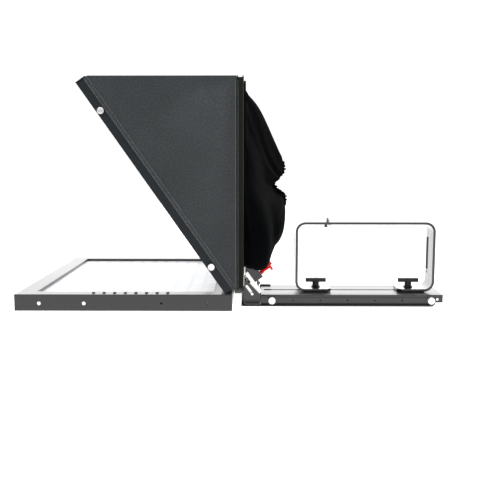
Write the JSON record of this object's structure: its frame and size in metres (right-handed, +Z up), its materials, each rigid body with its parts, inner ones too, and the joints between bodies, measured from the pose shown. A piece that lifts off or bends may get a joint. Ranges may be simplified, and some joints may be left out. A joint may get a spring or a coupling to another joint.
{
  "type": "teleprompter",
  "caption": "On-camera teleprompter: sliding base with camera riser, flat monitor, sloped beam-splitter glass, fabric-covered hood and a soft lens drape.",
  "frame": {"origin": "tripod hole in the underside of the base plate", "axes": "+X back to the camera operator, +Y to the operator's right, +Z up"},
  "size_m": [0.7217, 0.4092, 0.391],
  "materials": {
    "black_aluminium": "black anodised, satin",
    "riser_black": "black powder coat, satin",
    "monitor_black": "black paint, satin",
    "frame_black": "black anodised",
    "bare_metal": "silver, machined",
    "screw_steel": "bright",
    "black_plastic": "moulded, matt",
    "red_anodised": "red, satin",
    "nylon": "natural",
    "rubber": "matt",
    "screen": "pale lit screen",
    "diffuser": "white",
    "circuit_board": "solder mask",
    "beam_splitter": "half-mirrored clear",
    "hood_cloth": "dark grey woven nylon over board",
    "rear_cloth": "dark olive-black binding",
    "drape_cloth": "black soft cloth"
  },
  "bodies": {
    "base": {"base_plate": "black_aluminium", "tripod_block": "black_aluminium", "rail_left": "black_aluminium", "rail_right": "black_aluminium", "gusset_left": "black_aluminium", "gusset_right": "black_aluminium", "slope_plate": "black_aluminium", "monitor_guide": "black_aluminium", "slide_liners": "nylon", "base_screws": "screw_steel"},
    "rail_knob_front_left": {"rail_knob_front_left": "bare_metal"},
    "rail_knob_rear_left": {"rail_knob_rear_left": "bare_metal"},
    "rail_knob_front_right": {"rail_knob_front_right": "bare_metal"},
    "rail_knob_rear_right": {"rail_knob_rear_right": "bare_metal"},
    "tray": {"slide_tray": "black_aluminium", "tray_stop_screws": "screw_steel"},
    "riser": {"camera_riser": "riser_black", "riser_foot_pads": "rubber", "t_nuts": "bare_metal"},
    "t_handle_front": {"t_handle_front": "black_plastic"},
    "t_handle_rear": {"t_handle_rear": "black_plastic"},
    "camera_slider": {"camera_screw_washer": "screw_steel"},
    "camera_screw": {"camera_screw": "screw_steel"},
    "monitor": {"monitor_back_cover": "monitor_black", "monitor_bezel": "monitor_black", "lcd_panel": "screen", "backlight_unit": "diffuser", "circuit_boards": "circuit_board", "port_block": "black_plastic", "monitor_screws": "screw_steel", "monitor_arms": "bare_metal"},
    "button_1": {"button_1": "black_plastic"},
    "button_2": {"button_2": "black_plastic"},
    "button_3": {"button_3": "black_plastic"},
    "button_4": {"button_4": "black_plastic"},
    "button_5": {"button_5": "black_plastic"},
    "button_6": {"button_6": "black_plastic"},
    "button_7": {"button_7": "black_plastic"},
    "button_8": {"button_8": "black_plastic"},
    "monitor_lock_screw": {"monitor_lock_screw": "screw_steel"},
    "hood": {"beam_splitter_glass": "beam_splitter", "glass_gasket": "rubber", "frame_rail_left": "frame_black", "frame_rail_right": "frame_black", "frame_top_bar": "frame_black", "frame_bottom_bar": "frame_black", "frame_end_plate": "frame_black", "clamp_bracket": "bare_metal", "clamp_block": "black_aluminium", "hood_side_left": "hood_cloth", "hood_side_right": "hood_cloth", "hood_top": "hood_cloth", "hood_rear_frame": "rear_cloth", "camera_drape": "drape_cloth"},
    "t_screw_left": {"t_screw_left": "red_anodised"},
    "t_screw_right": {"t_screw_right": "red_anodised"},
    "thumbscrew_low_left": {"thumbscrew_low_left": "bare_metal"},
    "thumbscrew_high_left": {"thumbscrew_high_left": "bare_metal"},
    "thumbscrew_low_right": {"thumbscrew_low_right": "bare_metal"},
    "thumbscrew_high_right": {"thumbscrew_high_right": "bare_metal"}
  },
  "joints": [
    {"name": "tray_slide", "type": "slide", "parent": "base", "child": "tray", "axis": [1, 0, 0], "range_m": [0, 0.1]},
    {"name": "rail_knob_front_left_turn", "type": "hinge", "parent": "base", "child": "rail_knob_front_left", "pos_m": [-0.0728, -0.054, 0.0126], "axis": [0, -1, 0], "continuous": true},
    {"name": "rail_knob_rear_left_turn", "type": "hinge", "parent": "base", "child": "rail_knob_rear_left", "pos_m": [0.2122, -0.054, 0.0126], "axis": [0, -1, 0], "continuous": true},
    {"name": "rail_knob_front_right_turn", "type": "hinge", "parent": "base", "child": "rail_knob_front_right", "pos_m": [-0.0728, 0.054, 0.0126], "axis": [0, 1, 0], "continuous": true},
    {"name": "rail_knob_rear_right_turn", "type": "hinge", "parent": "base", "child": "rail_knob_rear_right", "pos_m": [0.2122, 0.054, 0.0126], "axis": [0, 1, 0], "continuous": true},
    {"name": "riser_slide", "type": "slide", "parent": "tray", "child": "riser", "axis": [1, 0, 0], "range_m": [0, 0.036]},
    {"name": "t_handle_front_turn", "type": "hinge", "parent": "riser", "child": "t_handle_front", "pos_m": [0.0106, 0, 0.03], "axis": [0, 0, 1], "continuous": true},
    {"name": "t_handle_rear_turn", "type": "hinge", "parent": "riser", "child": "t_handle_rear", "pos_m": [0.1824, 0, 0.03], "axis": [0, 0, 1], "continuous": true},
    {"name": "camera_screw_slide", "type": "slide", "parent": "riser", "child": "camera_slider", "axis": [1, 0, 0], "range_m": [0, 0.12]},
    {"name": "camera_screw_turn", "type": "hinge", "parent": "camera_slider", "child": "camera_screw", "pos_m": [0.032, 0, 0.146], "axis": [0, 0, 1], "continuous": true},
    {"name": "monitor_slide", "type": "slide", "parent": "base", "child": "monitor", "axis": [-1, 0, 0], "range_m": [0, 0.03]},
    {"name": "button_1_press", "type": "slide", "parent": "monitor", "child": "button_1", "axis": [0, 0, -1], "range_m": [0, 0.0007], "stiffness_N_per_m": 800, "springref_m": -0.0004},
    {"name": "button_2_press", "type": "slide", "parent": "monitor", "child": "button_2", "axis": [0, 0, -1], "range_m": [0, 0.0007], "stiffness_N_per_m": 800, "springref_m": -0.0004},
    {"name": "button_3_press", "type": "slide", "parent": "monitor", "child": "button_3", "axis": [0, 0, -1], "range_m": [0, 0.0007], "stiffness_N_per_m": 800, "springref_m": -0.0004},
    {"name": "button_4_press", "type": "slide", "parent": "monitor", "child": "button_4", "axis": [0, 0, -1], "range_m": [0, 0.0007], "stiffness_N_per_m": 800, "springref_m": -0.0004},
    {"name": "button_5_press", "type": "slide", "parent": "monitor", "child": "button_5", "axis": [0, 0, -1], "range_m": [0, 0.0007], "stiffness_N_per_m": 800, "springref_m": -0.0004},
    {"name": "button_6_press", "type": "slide", "parent": "monitor", "child": "button_6", "axis": [0, 0, -1], "range_m": [0, 0.0007], "stiffness_N_per_m": 800, "springref_m": -0.0004},
    {"name": "button_7_press", "type": "slide", "parent": "monitor", "child": "button_7", "axis": [0, 0, -1], "range_m": [0, 0.0007], "stiffness_N_per_m": 800, "springref_m": -0.0004},
    {"name": "button_8_press", "type": "slide", "parent": "monitor", "child": "button_8", "axis": [0, 0, -1], "range_m": [0, 0.0007], "stiffness_N_per_m": 800, "springref_m": -0.0004},
    {"name": "monitor_lock_screw_turn", "type": "hinge", "parent": "base", "child": "monitor_lock_screw", "pos_m": [-0.115, 0, 0.0254], "axis": [0, 0, 1], "continuous": true},
    {"name": "hood_height", "type": "slide", "parent": "base", "child": "hood", "axis": [-0.5707, 0, 0.8211], "range_m": [0, 0.01]},
    {"name": "t_screw_left_turn", "type": "hinge", "parent": "hood", "child": "t_screw_left", "pos_m": [-0.08611, -0.03, 0.06391], "axis": [0.8211, 0, 0.5707], "continuous": true},
    {"name": "t_screw_right_turn", "type": "hinge", "parent": "hood", "child": "t_screw_right", "pos_m": [-0.08611, 0.03, 0.06391], "axis": [0.8211, 0, 0.5707], "continuous": true},
    {"name": "thumbscrew_low_left_turn", "type": "hinge", "parent": "hood", "child": "thumbscrew_low_left", "pos_m": [-0.17372, -0.2, 0.09728], "axis": [0, -1, 0], "continuous": true},
    {"name": "thumbscrew_high_left_turn", "type": "hinge", "parent": "hood", "child": "thumbscrew_high_left", "pos_m": [-0.34117, -0.2, 0.3382], "axis": [0, -1, 0], "continuous": true},
    {"name": "thumbscrew_low_right_turn", "type": "hinge", "parent": "hood", "child": "thumbscrew_low_right", "pos_m": [-0.17372, 0.2, 0.09728], "axis": [0, 1, 0], "continuous": true},
    {"name": "thumbscrew_high_right_turn", "type": "hinge", "parent": "hood", "child": "thumbscrew_high_right", "pos_m": [-0.34117, 0.2, 0.3382], "axis": [0, 1, 0], "continuous": true}
  ]
}
